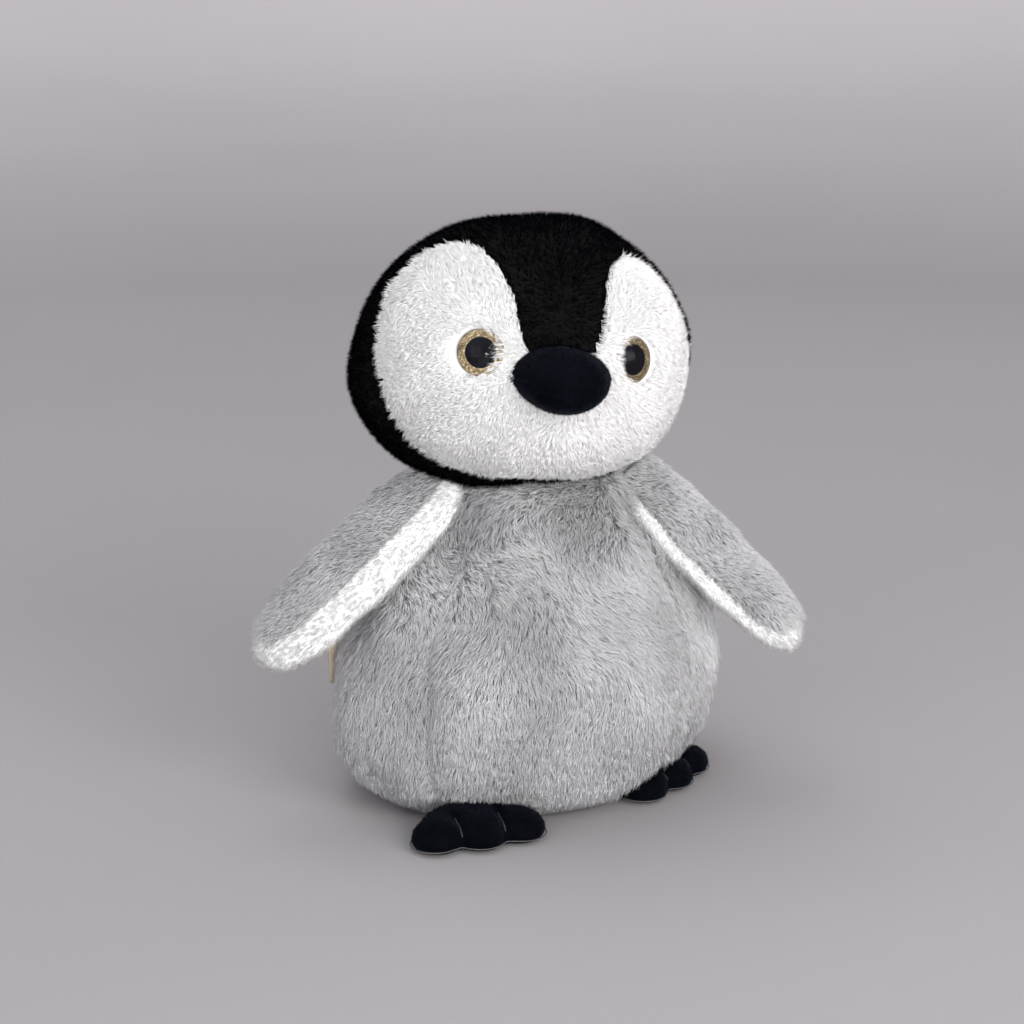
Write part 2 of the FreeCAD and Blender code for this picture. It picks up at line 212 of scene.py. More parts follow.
def ring_mesh(name, rings, place):
    """A closed mesh through rings of points, with a fan at each end."""
    rings = np.array(rings)
    rows, columns = rings.shape[:2]
    points = np.vstack([rings.reshape(-1, 3), rings[0].mean(0), rings[-1].mean(0)])
    first, last = rows * columns, rows * columns + 1
    faces = []
    for c in range(columns):
        n = (c + 1) % columns
        faces.append((first, n, c))
        faces.append((last, (rows - 1) * columns + c, (rows - 1) * columns + n))
        for r in range(rows - 1):
            faces.append((r * columns + c, r * columns + n, (r + 1) * columns + n, (r + 1) * columns + c))
    mesh = bpy.data.meshes.new(name)
    mesh.from_pydata(world(points, place).tolist(), [], faces)
    work = bmesh.new()
    work.from_mesh(mesh)
    bmesh.ops.recalc_face_normals(work, faces=work.faces)
    if work.calc_volume(signed=True) < 0:
        bmesh.ops.reverse_faces(work, faces=work.faces)
    work.to_mesh(mesh)
    work.free()
    return mesh


def tube(name, route, radius, closed=False, columns=6):
    """A round thread along points in metres."""
    route = np.array(route, float)
    if closed:
        ahead = np.roll(route, -1, 0) - np.roll(route, 1, 0)
    else:
        ahead = np.gradient(route, axis=0)
    ahead = unit(ahead)
    side = unit(np.cross(ahead, (0.13, 0.21, 1.0)))
    up = np.cross(side, ahead)
    turn = np.linspace(0, 2 * math.pi, columns, endpoint=False)
    circle = np.cos(turn)[None, :, None] * side[:, None] + np.sin(turn)[None, :, None] * up[:, None]
    points = (route[:, None] + radius * MM * circle).reshape(-1, 3)
    rows = len(route)
    faces = []
    for r in range(rows if closed else rows - 1):
        for c in range(columns):
            n, below = (c + 1) % columns, (r + 1) % rows
            faces.append((r * columns + c, below * columns + c, below * columns + n, r * columns + n))
    if not closed:
        faces.append(tuple(range(columns)))
        faces.append(tuple(range(rows * columns - 1, (rows - 1) * columns - 1, -1)))
    mesh = bpy.data.meshes.new(name)
    mesh.from_pydata(points.tolist(), [], faces)
    return mesh


def joined(name, meshes):
    """Several meshes as one."""
    work = bmesh.new()
    for mesh in meshes:
        work.from_mesh(mesh)
        bpy.data.meshes.remove(mesh)
    whole = bpy.data.meshes.new(name)
    work.to_mesh(whole)
    work.free()
    return whole


# ---- shapes of the stuffed forms ----

def oval(columns, power=1.0):
    """Sideways and upward parts of a ring; a power above 1 draws its sides to a seam."""
    turn = np.linspace(0, 2 * math.pi, columns, endpoint=False)
    return np.cos(turn), np.sign(np.sin(turn)) * np.abs(np.sin(turn)) ** power


def body_rings():
    across, deep = oval(72)
    return [np.column_stack([across * wide - sag, deep * depth, np.full(72, height)])
            for height, wide, depth, sag in smooth_rows(BODY_LEVELS, 3)]


def head_rings():
    across, deep = oval(72)
    rings = []
    for degrees in range(-87, 88, 6):
        c, s = math.cos(math.radians(degrees)), math.sin(math.radians(degrees))
        high, power = (HEAD_ABOVE, ROUND_ABOVE) if s > 0 else (HEAD_BELOW, ROUND_BELOW)
        reach, z = c ** (2 / power), math.copysign(abs(s) ** (2 / power), s) * (high - HEAD_INSET)
        wide, depth = (HEAD_WIDE - HEAD_INSET) * reach, (HEAD_DEEP - HEAD_INSET) * reach
        rings.append(np.column_stack([across * wide, deep * depth, np.full(72, z)]))
    return rings


def flipper_rings(side):
    across, thick = oval(48, 1.25)
    ahead = -SIDES[side] * FLIPPER_FORWARD
    return [np.column_stack([np.full(48, along), across * wide + ahead, thick * half])
            for along, wide, half in smooth_rows(FLIPPER_LEVELS, 4)]


def beak_rings():
    """Rings from inside the face to the bill's rounded end, each pointed where the halves meet."""
    wide, ahead, high = BEAK_RADII
    rings = []
    for reach in np.linspace(-0.35, 0.985, 22):
        grown = max(reach, 0.0)
        width = wide * (1 - grown ** 2.6) ** 0.5 * (1 + 0.12 * (1 - grown) ** 4)
        height = high * (1 - grown ** 2.6) ** 0.5 * (0.9 + 0.1 * grown)
        across, up = oval(48, 1.35 - 0.35 * min(1.0, 1.6 * grown))
        rings.append(np.column_stack([
            across * width + BEAK_CENTRE[0],
            np.full(48, BEAK_CENTRE[1] - ahead * reach),
            up * height + BEAK_CENTRE[2] - BEAK_DROOP * grown ** 2,
        ]))
    return rings


def foot_outline(columns):
    """Distance from the foot's middle to its edge, all the way round: heel and three toes."""
    turn = np.linspace(0, 2 * math.pi, columns, endpoint=False)
    way = np.column_stack([np.cos(turn), np.sin(turn)])
    heel = 1 / np.sqrt((way[:, 0] / 25.0) ** 2 + (way[:, 1] / 17.0) ** 2)
    reach = heel
    for place, ahead in zip((-1, 0, 1), TOE_AHEAD):
        centre = np.array([place * TOE_SPREAD, -ahead]) - FOOT_MIDDLE
        nearest = way @ centre
        inside = TOE_RADIUS ** 2 - centre @ centre + nearest ** 2
        toe = np.where((inside > 0) & (nearest > 0), nearest + np.sqrt(np.maximum(inside, 0)), 0)
        reach = np.maximum(reach, toe)
    return way, reach


def foot_ring(scale, height, columns=144):
    way, reach = foot_outline(columns)
    flat = way * (reach * scale)[:, None] + FOOT_MIDDLE
    return np.column_stack([flat, np.full(columns, height)])


def foot_rings():
    top = FOOT_HEIGHT - 0.5
    profile = [
        (0.10, 0.7), (0.45, 0.6), (0.80, 0.6), (0.93, 0.8), (0.97, SOLE_SEAM), (0.99, 5.0),
        (0.97, 7.6), (0.91, 9.8), (0.80, 11.4), (0.62, top - 0.2), (0.38, top), (0.12, top),
    ]
    return [foot_ring(scale, height) for scale, height in profile]


# ---- seams that hold the forms in ----

def face_edge():
    """The left half of the face's edge as a smooth row of (x, z)."""
    return smooth_rows(FACE_OUTLINE, 8)


def in_face(p):
    """Whether points of the head's own frame lie on the white face."""
    x, z = np.abs(p[:, 0]), p[:, 2]
    edge = face_edge()
    inside = np.zeros(len(p), bool)
    for (xa, za), (xb, zb) in zip(edge, np.roll(edge, -1, 0)):
        crosses = (za > z) != (zb > z)
        inside ^= crosses & (x < xa + (z - za) * (xb - xa) / (zb - za if zb != za else 1e-9))
    return inside & (p[:, 1] < -5)


def face_edge_distance(p):
    edge = face_edge()
    flat = np.column_stack([np.abs(p[:, 0]), p[:, 2]])
    near = np.sqrt(((flat[:, None] - edge[None]) ** 2).sum(2)).min(1)
    return np.where(p[:, 1] < -5, near, 99.0)


def past_seam(p, side):
    """How far points lie outside the plane of one of the seams beside the belly panel."""
    angle = math.radians(BELLY_SEAMS[side])
    return SIDES[side] * p[:, 0] * math.cos(angle) + p[:, 1] * math.sin(angle)


def belly_seam_distance(p):
    near = [np.where(SIDES[side] * p[:, 0] > 0, np.abs(past_seam(p, side)), 99.0) for side in SIDES]
    return np.where(p[:, 1] < 10, np.minimum(*near), 99.0)


def body_pins(p):
    back_seam = (np.abs(p[:, 0]) < 2.5) & (p[:, 1] > 0)
    ends = (p[:, 2] < BASE_TOP) | (p[:, 2] > NECK_FROM)
    return ends | back_seam | (belly_seam_distance(p) < 2.5)


def head_pins(p):
    middle_seam = (np.abs(p[:, 0]) < 2.0) & (p[:, 2] < 15) & ~in_face(p)
    return middle_seam | (face_edge_distance(p) < 2.2)


def flipper_pins(p):
    return (np.abs(p[:, 2]) < 1.2) | (p[:, 0] < 2)


def beak_pins(p):
    return (np.abs(p[:, 2] - BEAK_CENTRE[2]) < 0.9) | (p[:, 1] > -60)


def toe_groove_distance(p):
    near = np.minimum(np.abs(p[:, 0] - TOE_SPREAD / 2), np.abs(p[:, 0] + TOE_SPREAD / 2))
    return np.where(p[:, 1] < -14, near, 99.0)


def foot_pins(p):
    return (p[:, 2] < SOLE_SEAM + 0.6) | (toe_groove_distance(p) < 1.0)


def all_forms():
    identity = np.eye(4)
    forms = [
        Form("body", "body", identity, body_rings(), 4.5, 3.8, body_pins),
        Form("head", "head", HEAD_PLACE, head_rings(), 4.0, 3.0, head_pins),
        Form("beak", "head", HEAD_PLACE, beak_rings(), 1.9, 1.2, beak_pins),
    ]
    for side in SIDES:
        forms.append(Form(f"flipper_{side}", f"flipper_{side}", FLIPPER_PLACES[side],
                          flipper_rings(side), 3.2, 2.6, flipper_pins))
        forms.append(Form(f"foot_{side}", f"foot_{side}", FOOT_PLACES[side],
                          foot_rings(), 1.7, 1.4, foot_pins))
    return forms


# ---- stuffing the forms: a short cloth simulation with pressure ----

PRESSURE, CLOTH_FRAMES = 12000.0, 20  # a high pressure, because the panels are small and stiff


def applied(thing):
    """The object's mesh with its modifiers applied."""
    bpy.context.view_layer.update()
    graph = bpy.context.evaluated_depsgraph_get()
    return bpy.data.meshes.new_from_object(thing.evaluated_get(graph))


def even_object(form):
    """The form as an object of even quads."""
    thing = bpy.data.objects.new(form.name + "_form", ring_mesh(form.name, form.rings, form.place))
    bpy.context.scene.collection.objects.link(thing)
    remesh = thing.modifiers.new("Remesh", "REMESH")
    remesh.mode = "VOXEL"
    remesh.voxel_size = form.voxel * MM
    mesh = applied(thing)
    thing.modifiers.clear()
    thing.data = mesh
    return thing


def add_cloth(thing, pinned):
    group = thing.vertex_groups.new(name="pinned")
    group.add(np.flatnonzero(pinned).tolist(), 1.0, "ADD")
    cloth = thing.modifiers.new("Cloth", "CLOTH")
    cloth.point_cache.frame_end = CLOTH_FRAMES
    cloth.settings.use_pressure = True
    cloth.settings.uniform_pressure_force = PRESSURE
    cloth.settings.vertex_group_mass = group.name
    cloth.settings.effector_weights.gravity = 0


def run_cloth(things):
    """Steps all the simulations together and returns where their points end."""
    for thing, _, pinned in things:
        add_cloth(thing, pinned)
    for number in range(1, CLOTH_FRAMES + 1):
        bpy.context.scene.frame_set(number)
    graph = bpy.context.evaluated_depsgraph_get()
    return [read_points(thing.evaluated_get(graph).data) for thing, _, _ in things]


def stuffed(forms):
    """Each form's mesh, swollen between its seams, with one subdivision."""
    things = []
    for form in forms:
        thing = even_object(form)
        rest = read_points(thing.data)
        things.append((thing, rest, form.pins(local(rest, form.place))))
    ends = run_cloth(things)
    meshes = {}
    for form, (thing, rest, _), end in zip(forms, things, ends):
        move = end - rest
        far = np.linalg.norm(move, axis=1, keepdims=True)
        move *= np.minimum(1, form.swell * MM / np.maximum(far, 1e-9))
        thing.modifiers.clear()
        write_points(thing.data, rest + move)
        smoother = thing.modifiers.new("Subdivision", "SUBSURF")
        smoother.levels = smoother.render_levels = 1
        meshes[form.name] = applied(thing)
        bpy.data.objects.remove(thing)
    return meshes


# ---- shaping after the stuffing ----

def eye_place(side):
    """The eye's frame in the shared frame: its back at height 0, looking along +Z."""
    x, z = SIDES[side] * EYE_X, EYE_Z
    n = ROUND_ABOVE
    rho = (1 - (z / HEAD_ABOVE) ** n) ** (1 / n)
    y = -HEAD_DEEP * math.sqrt(rho ** 2 - (x / HEAD_WIDE) ** 2)
    up = z ** (n - 1) / HEAD_ABOVE ** n * rho ** (2 - n)
    out = Vector((x / HEAD_WIDE ** 2, y / HEAD_DEEP ** 2, up)).normalized()
    middle = Vector((x, y, z)) - out * EYE_SINK
    turn = Vector((0, 0, 1)).rotation_difference(out).to_matrix().to_4x4()
    return HEAD_PLACE @ np.array(Matrix.Translation(middle) @ turn)


def from_socket(q, side):
    """Distance from the middle of an eye's socket, which the nose side of the cloth covers a little."""
    nose = local(world(np.array([[0.0, -HEAD_DEEP, EYE_Z]]), HEAD_PLACE), eye_place(side))[0, :2]
    return np.linalg.norm(q[:, :2] + EYE_COVER * unit(nose), axis=1)


def shape_head(mesh):
    """Seams drawn in, and a socket pressed into the cloth for each eye."""
    points, normals = read_points(mesh), read_normals(mesh)
    p = local(points, HEAD_PLACE)
    crown = 0.4 * np.exp(-(p[:, 0] / 1.6) ** 2) * ~in_face(p)
    edge = np.exp(-(face_edge_distance(p) / 1.8) ** 2)
    points = points - normals * MM * (1.0 * crown + 0.8 * edge)[:, None]
    fuller = np.clip(4 * p[:, 0] * p[:, 2] / (HEAD_WIDE * HEAD_ABOVE), -0.4, 1) * ~in_face(p)
    points = points + normals * MM * 2.4 * fuller[:, None]
    for side in SIDES:
        place = eye_place(side)
        q = local(points, place)
        near = from_socket(q, side)
        inner, outer = EYE_RADIUS + 0.4, EYE_RADIUS + 4.6
        blend = np.clip((outer - near) / (outer - inner), 0, 1) ** 1.5
        floor = -0.3
        lowered = np.minimum(q[:, 2], floor)
        facing = q[:, 2] > -12
        q[:, 2] = np.where(facing, q[:, 2] + (lowered - q[:, 2]) * blend, q[:, 2])
        points = world(q, place)
    write_points(mesh, points)


def shape_body(mesh):
    """Side and back seams drawn in, soft lumps, and hollows for the feet."""
    points, normals = read_points(mesh), read_normals(mesh)
    p = points / MM
    side_seam = np.exp(-(belly_seam_distance(p) / 2.5) ** 2) * (p[:, 2] > 8)
    back_seam = np.exp(-(p[:, 0] / 2.0) ** 2) * (p[:, 1] > 0)
    lumps = 0.9 * waves(p, 34, 5) * np.clip((p[:, 2] - 4) / 12, 0, 1) * (p[:, 2] < NECK_FROM)
    points = points + normals * MM * (lumps - 1.6 * side_seam - 1.0 * back_seam)[:, None]
    for side in SIDES:
        place = FOOT_PLACES[side]
        middle, reach = np.array([0, -24.0, -3.0]), np.array([34.0, 32.0, 18.5])
        q = (local(points, place) - middle) / reach
        inside = (np.abs(q) ** 4).sum(1) ** 0.25
        q /= np.where(inside < 1, np.maximum(inside, 0.2), 1)[:, None]
        points = world(q * reach + middle, place)
    points[:, 2] = np.maximum(points[:, 2], 0.6 * MM)
    write_points(mesh, points)


def shape_foot(mesh, side):
    """Grooves between the toes."""
    points = read_points(mesh)
    p = local(points, FOOT_PLACES[side])
    depth = 2.2 * np.exp(-(toe_groove_distance(p) / 1.9) ** 2) * np.clip((p[:, 2] - 4) / 5, 0, 1)
    depth *= np.clip((-14 - p[:, 1]) / 6, 0, 1)
    p[:, 2] -= depth
    write_points(mesh, world(p, FOOT_PLACES[side]))


def shape_beak(mesh):
    """The groove between the two halves of the bill."""
    points, normals = read_points(mesh), read_normals(mesh)
    p = local(points, HEAD_PLACE)
    seam = np.exp(-((p[:, 2] - beak_seam_height(p)) / 0.8) ** 2)
    write_points(mesh, points - normals * MM * 0.45 * seam[:, None])


def beak_seam_height(p):
    grown = np.clip((BEAK_CENTRE[1] - p[:, 1]) / BEAK_RADII[1], 0, 1)
    return BEAK_CENTRE[2] - BEAK_DROOP * grown ** 2


def shape_flipper(mesh, side):
    """Small waves in the pillow."""
    points, normals = read_points(mesh), read_normals(mesh)
    p = local(points, FLIPPER_PLACES[side])
    lumps = 0.5 * waves(p, 24, 9)
    write_points(mesh, points + normals * MM * lumps[:, None])


# ---- panels cut from the forms ----

def panel(name, form, mesh, wanted, material, nodes, thick=1.2):
    """The wanted faces of a form as a cloth panel of its own, thickened inwards."""
    keep = wanted(local(face_centres(mesh), form.place))
    work = bmesh.new()
    work.from_mesh(mesh)
    work.faces.ensure_lookup_table()
    loose = [face for face, wants in zip(work.faces, keep) if not wants]
    bmesh.ops.delete(work, geom=loose, context="FACES")
    cut = bpy.data.meshes.new(name)
    work.to_mesh(cut)
    work.free()
    piece = new_piece(name, cut, form.body, material)
    solid = piece.modifiers.new("Solidify", "SOLIDIFY")
    solid.thickness, solid.offset = thick * MM, -1.0
    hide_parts(*nodes)
    return piece


def cut_along(mesh, place, planes):
    """Cuts the faces of a mesh where planes (a point and a normal in the part's frame) cross them."""
    work = bmesh.new()
    work.from_mesh(mesh)
    for point, normal in planes:
        geometry = work.verts[:] + work.edges[:] + work.faces[:]
        at = world(np.array([point], float), place)[0]
        way = place[:3, :3] @ np.array(normal, float)
        bmesh.ops.bisect_plane(work, geom=geometry, plane_co=at, plane_no=way, dist=1e-6)
    work.to_mesh(mesh)
    work.free()


def wadding(name, form, mesh, nodes, inset, material):
    """The fibre filling: the form a little smaller, with lumps."""
    filling = mesh.copy()
    points, normals = read_points(mesh), read_normals(mesh)
    p = local(points, form.place)
    depth = inset + 0.35 * inset * waves(p, 9, 3) + 0.1 * inset * waves(p, 4, 4)
    write_points(filling, points - normals * MM * depth[:, None])
    filling.name = name
    piece = new_piece(name, filling, form.body, material)
    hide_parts(*nodes)
    return piece


# ---- pile: real strands ----

def scatter(form, mesh, density, wanted, rng):
    """Random points on the wanted part of a mesh, with normals, in the part's own frame."""
    mesh.calc_loop_triangles()
    corners = np.empty(len(mesh.loop_triangles) * 3, int)
    mesh.loop_triangles.foreach_get("vertices", corners)
    corners = corners.reshape(-1, 3)
    points = local(read_points(mesh), form.place)
    normals = read_normals(mesh) @ form.place[:3, :3]
    a, b, c = (points[corners[:, i]] for i in range(3))
    area = np.linalg.norm(np.cross(b - a, c - a), axis=1) / 2
    chosen = rng.choice(len(area), int(area.sum() * density), p=area / area.sum())
    u, v = rng.random((2, len(chosen)))
    fold = u + v > 1
    u, v = np.where(fold, 1 - u, u), np.where(fold, 1 - v, v)
    weights = np.column_stack([1 - u - v, u, v])[:, :, None]
    roots = (points[corners[chosen]] * weights).sum(1)
    outward = unit((normals[corners[chosen]] * weights).sum(1))
    keep = wanted(roots)
    return roots[keep], outward[keep]


def turned(ways, normals, angle):
    """Directions turned about the normals by angles in radians."""
    angle = angle[:, None]
    return ways * np.cos(angle) + np.cross(normals, ways) * np.sin(angle)


def along_surface(ways, normals):
    return unit(ways - normals * (ways * normals).sum(1, keepdims=True))


def strand_lines(roots, normals, ways, pile, rng):
    """Each strand's points from root to tip: it leaves steeply and bends over."""
    count = len(roots)
    step = pile.length / pile.bends * rng.uniform(0.72, 1.15, (count, 1))
    lift = math.radians(pile.lift) * rng.uniform(0.6, 1.4, (count, 1))
    points = [roots - 0.5 * normals]
    for k in range(pile.bends):
        ways = turned(ways, normals, rng.normal(0, pile.stray, count))
        angle = lift * (1.4 - 0.8 * k) if pile.bends > 1 else lift
        points.append(points[-1] + step * (ways * np.cos(angle) + normals * np.sin(angle)))
    return np.stack(points, axis=1)


def clumped(lines, pile):
    """Tips drawn towards the tip of one strand nearby, so that the pile stands in tufts."""
    if pile.pull == 0:
        return lines
    leaders = lines[: max(1, int(len(lines) / (pile.density * pile.clump ** 2)))]
    tree = KDTree(len(leaders))
    for i, line in enumerate(leaders):
        tree.insert(line[0], i)
    tree.balance()
    nearest = np.array([tree.find(root)[1] for root in lines[:, 0]])
    leader = leaders[nearest]
    steps = lines.shape[1] - 1
    drawn = lines.copy()
    for k in range(1, steps + 1):
        share = pile.pull * (k / steps) ** 1.5
        drawn[:, k] += (leader[:, k] - lines[:, k]) * share
    return drawn


def strand_mesh(name, lines, width, shades):
    """Closed three-sided strands, tapered to a point, with shade and height as their UV."""
    count, rows = lines.shape[:2]
    last = rows - 1
    ahead = unit(lines[:, -1] - lines[:, 0])
    side = unit(np.cross(ahead, (0.11, 0.17, 1.0)))
    up = np.cross(side, ahead)
    thick = width * MM / 2 * np.linspace(1.0, 0.8, last) if last > 1 else [width * MM / 2]
    parts = []
    for k in range(last):
        for degrees in (90, 210, 330):
            turn = math.radians(degrees)
            parts.append(lines[:, k] + thick[k] * (math.cos(turn) * side + math.sin(turn) * up))
    parts.append(lines[:, last])
    points = np.stack(parts, axis=1)
    points[:, :, 2] = np.maximum(points[:, :, 2], 0.3 * MM)
    faces = [(0, 1, 2)]
    for k in range(last - 1):
        for i in range(3):
            n = (i + 1) % 3
            faces.append((3 * k + n, 3 * k + i, 3 * k + 3 + i, 3 * k + 3 + n))
    for i in range(3):
        faces.append((3 * (last - 1) + (i + 1) % 3, 3 * (last - 1) + i, 3 * last))
    return many_copies(name, points, faces, shades, last)


def many_copies(name, points, faces, shades, last):
    """One mesh of many strands that share one pattern of faces."""
    count, each = points.shape[:2]
    corners = np.array([corner for face in faces for corner in face])
    index = (np.arange(count)[:, None] * each + corners[None]).ravel()
    sizes = np.array([len(face) for face in faces])
    starts = np.concatenate([[0], np.cumsum(sizes)[:-1]])
    starts = (np.arange(count)[:, None] * len(corners) + starts[None]).ravel()
    mesh = bpy.data.meshes.new(name)
    mesh.vertices.add(count * each)
    mesh.vertices.foreach_set("co", points.astype(np.float32).ravel())
    mesh.loops.add(len(index))
    mesh.loops.foreach_set("vertex_index", index.astype(np.int32))
    mesh.polygons.add(len(starts))
    mesh.polygons.foreach_set("loop_start", starts.astype(np.int32))
    mesh.update(calc_edges=True)
    spread = 0.0011 * (corners % 3)
    across = np.clip(shades[:, None] + spread[None], 0.002, 0.998)
    height = np.clip(np.minimum(corners // 3, last) / last, 0.01, 0.99)
    uv = np.stack([across, np.broadcast_to(height, across.shape)], axis=2)
    layer = mesh.uv_layers.new(name=PALETTE_UV)
    layer.data.foreach_set("uv", uv.astype(np.float32).ravel())
    return mesh


def grow(name, form, mesh, pile, wanted, flow, shade, material, seed):
    """Pile on the wanted part of a form, in pieces of at most MOST_STRANDS strands."""
    rng = np.random.default_rng(seed)
    roots, normals = scatter(form, mesh, pile.density, wanted, rng)
    ways = along_surface(flow(roots), normals)
    lines = clumped(strand_lines(roots, normals, ways, pile, rng), pile)
    shades = np.clip(shade(roots) + rng.normal(0, 0.13, len(roots)), 0, 1)
    lines = world(lines.reshape(-1, 3), form.place).reshape(lines.shape)
    order = np.argsort(roots[:, 2], kind="stable")
    groups = np.array_split(order, math.ceil(len(order) / MOST_STRANDS))
    for number, group in enumerate(groups, start=1):
        title = name if len(groups) == 1 else f"{name}_{number}"
        strands = strand_mesh(title, lines[group], pile.width, shades[group])
        new_piece(title, strands, form.body, material)


# ---- materials ----

class Shader:
    """A node material that is put together one node at a time."""

    def __init__(self, name):
        self.material = bpy.data.materials.new(name)
        self.material.use_nodes = True
        self.nodes = self.material.node_tree.nodes
        self.links = self.material.node_tree.links
        self.skin = self.nodes["Principled BSDF"]

    def add(self, kind, settings=None, **inputs):
        node = self.nodes.new(kind)
        for key, value in (settings or {}).items():
            setattr(node, key, value)
        for key, value in inputs.items():
            self.put(node.inputs[key.replace("_", " ")], value)
        return node

    def put(self, socket, value):
        if isinstance(value, bpy.types.NodeSocket):
            self.links.new(value, socket)
        else:
            socket.default_value = value

    def finish(self, **sockets):
        for key, value in sockets.items():
            self.put(self.skin.inputs[key.replace("_", " ")], value)
        return self.material

    def ramp(self, value, stops):
        node = self.add("ShaderNodeValToRGB", Fac=value)
        ramp = node.color_ramp
        while len(ramp.elements) < len(stops):
            ramp.elements.new(0.5)
        for element, (place, colour) in zip(ramp.elements, stops):
            element.position, element.color = place, (*colour, 1)
        return node.outputs["Color"]

    def multiply(self, first, second):
        mix = self.add("ShaderNodeMix", {"data_type": "RGBA", "blend_type": "MULTIPLY"})
        mix.inputs["Factor"].default_value = 1.0
        self.links.new(first, mix.inputs[6])
        self.links.new(second, mix.inputs[7])
        return mix.outputs[2]

    def noise(self, scale, detail=4.0, rough=0.5, stretch=None):
        places = self.add("ShaderNodeTexCoord").outputs["Object"]
        if stretch:
            places = self.add("ShaderNodeMapping", Vector=places, Scale=stretch).outputs["Vector"]
        node = self.add("ShaderNodeTexNoise", Vector=places, Scale=scale, Detail=detail, Roughness=rough)
        return node.outputs["Fac"]

    def bump(self, height, strength, distance):
        node = self.add("ShaderNodeBump", Height=height, Strength=strength, Distance=distance)
        return node.outputs["Normal"]


def grey(level):
    return (level, level, level)


def pile_material(name, stops, darkest, lightest, rough=0.75, sheen=0.2, ior=1.3):
    """Strands: coloured from root to tip, and lighter or darker by their shade."""
    shader = Shader(name)
    uv = shader.add("ShaderNodeUVMap", {"uv_map": PALETTE_UV}).outputs["UV"]
    parts = shader.add("ShaderNodeSeparateXYZ", Vector=uv)
    along = shader.ramp(parts.outputs["Y"], stops)
    shade = shader.ramp(parts.outputs["X"], [(0.0, darkest), (1.0, lightest)])
    return shader.finish(Base_Color=shader.multiply(along, shade), Roughness=rough, Sheen_Weight=sheen,
                         Sheen_Roughness=0.5, IOR=ior)


def backing_material(name, dark, light, scale=260.0):
    """The cloth that the pile grows from: mottled, with the roots as fine bumps."""
    shader = Shader(name)
    broad = shader.noise(55.0, 3.0)
    fine = shader.noise(scale * 6, 3.0, 0.7)
    colour = shader.ramp(broad, [(0.3, dark), (0.7, light)])
    return shader.finish(Base_Color=colour, Roughness=0.95, IOR=1.1, Normal=shader.bump(fine, 0.8, 0.0006))


def velour_material(name, dark, light, sheen_tint):
    """Short velour: near black with a bluish nap that lies in patches."""
    shader = Shader(name)
    patches = shader.noise(70.0, 5.0, 0.6)
    nap = shader.noise(2600.0, 2.0, 0.7)
    colour = shader.ramp(patches, [(0.35, dark), (0.7, light)])
    return shader.finish(Base_Color=colour, Roughness=0.7, Sheen_Weight=0.05, Sheen_Roughness=0.35,
                         Sheen_Tint=(*sheen_tint, 1), IOR=1.08,
                         Normal=shader.bump(nap, 0.7, 0.0004))


def thread_material(name, dark, light):
    """Twisted thread: fine slanted bands."""
    shader = Shader(name)
    twist = shader.noise(1400.0, 2.0, 0.5, stretch=(1.0, 1.0, 0.35))
    colour = shader.ramp(twist, [(0.35, dark), (0.65, light)])
    return shader.finish(Base_Color=colour, Roughness=0.7, Normal=shader.bump(twist, 0.9, 0.0003))


def woven_material(name, dark, light, threads=1500.0):
    """Plain woven cloth from two crossing sets of bands."""
    shader = Shader(name)
    places = shader.add("ShaderNodeTexCoord").outputs["Object"]
    bands = []
    for direction in ("X", "Z"):
        settings = {"wave_type": "BANDS", "bands_direction": direction}
        node = shader.add("ShaderNodeTexWave", settings, Vector=places, Scale=threads / 6.3, Distortion=0.6)
        bands.append(node.outputs["Fac"])
    both = shader.add("ShaderNodeMath", {"operation": "MAXIMUM"})
    shader.links.new(bands[0], both.inputs[0])
    shader.links.new(bands[1], both.inputs[1])
    weave = both.outputs["Value"]
    colour = shader.ramp(weave, [(0.1, dark), (0.8, light)])
    return shader.finish(Base_Color=colour, Roughness=0.85, Normal=shader.bump(weave, 0.6, 0.0003))


def fibre_material(name):
    """Loose polyester fibre: white, soft, with drawn-out wisps."""
    shader = Shader(name)
    wisps = shader.noise(320.0, 6.0, 0.75, stretch=(1.0, 0.3, 1.0))
    colour = shader.ramp(wisps, [(0.3, grey(0.62)), (0.7, grey(0.9))])
    return shader.finish(Base_Color=colour, Roughness=0.9, Sheen_Weight=0.4, Sheen_Roughness=0.5,
                         Normal=shader.bump(wisps, 1.0, 0.002))


def pellet_material(name):
    """A heap of small translucent plastic beads."""
    shader = Shader(name)
    places = shader.add("ShaderNodeTexCoord").outputs["Object"]
    cells = shader.add("ShaderNodeTexVoronoi", Vector=places, Scale=320.0, Randomness=0.9)
    round_top = shader.ramp(cells.outputs["Distance"], [(0.0, grey(1.0)), (0.75, grey(0.0))])
    # Painted shade: each bead is paler in its middle and darker towards its edge, where it meets its
    # neighbours.
    colour = shader.ramp(cells.outputs["Distance"], [(0.0, (0.84, 0.84, 0.80)), (0.8, (0.42, 0.42, 0.40))])
    return shader.finish(Base_Color=colour, Roughness=0.35, Normal=shader.bump(round_top, 1.0, 0.002))


def glitter_material(name):
    """Fine gold flakes under the eye's dome, each tilted its own way."""
    shader = Shader(name)
    places = shader.add("ShaderNodeTexCoord").outputs["Object"]
    flakes = shader.add("ShaderNodeTexVoronoi", Vector=places, Scale=1900.0, Randomness=1.0)
    parts = shader.add("ShaderNodeSeparateColor", Color=flakes.outputs["Color"])
    colour = shader.ramp(parts.outputs["Red"], [
        (0.0, (0.08, 0.055, 0.028)), (0.4, (0.19, 0.14, 0.075)), (0.8, (0.33, 0.26, 0.14)),
        (1.0, (0.62, 0.52, 0.33)),
    ])
    return shader.finish(Base_Color=colour, Metallic=0.7, Roughness=0.34,
                         Normal=shader.bump(parts.outputs["Green"], 0.7, 0.0005))


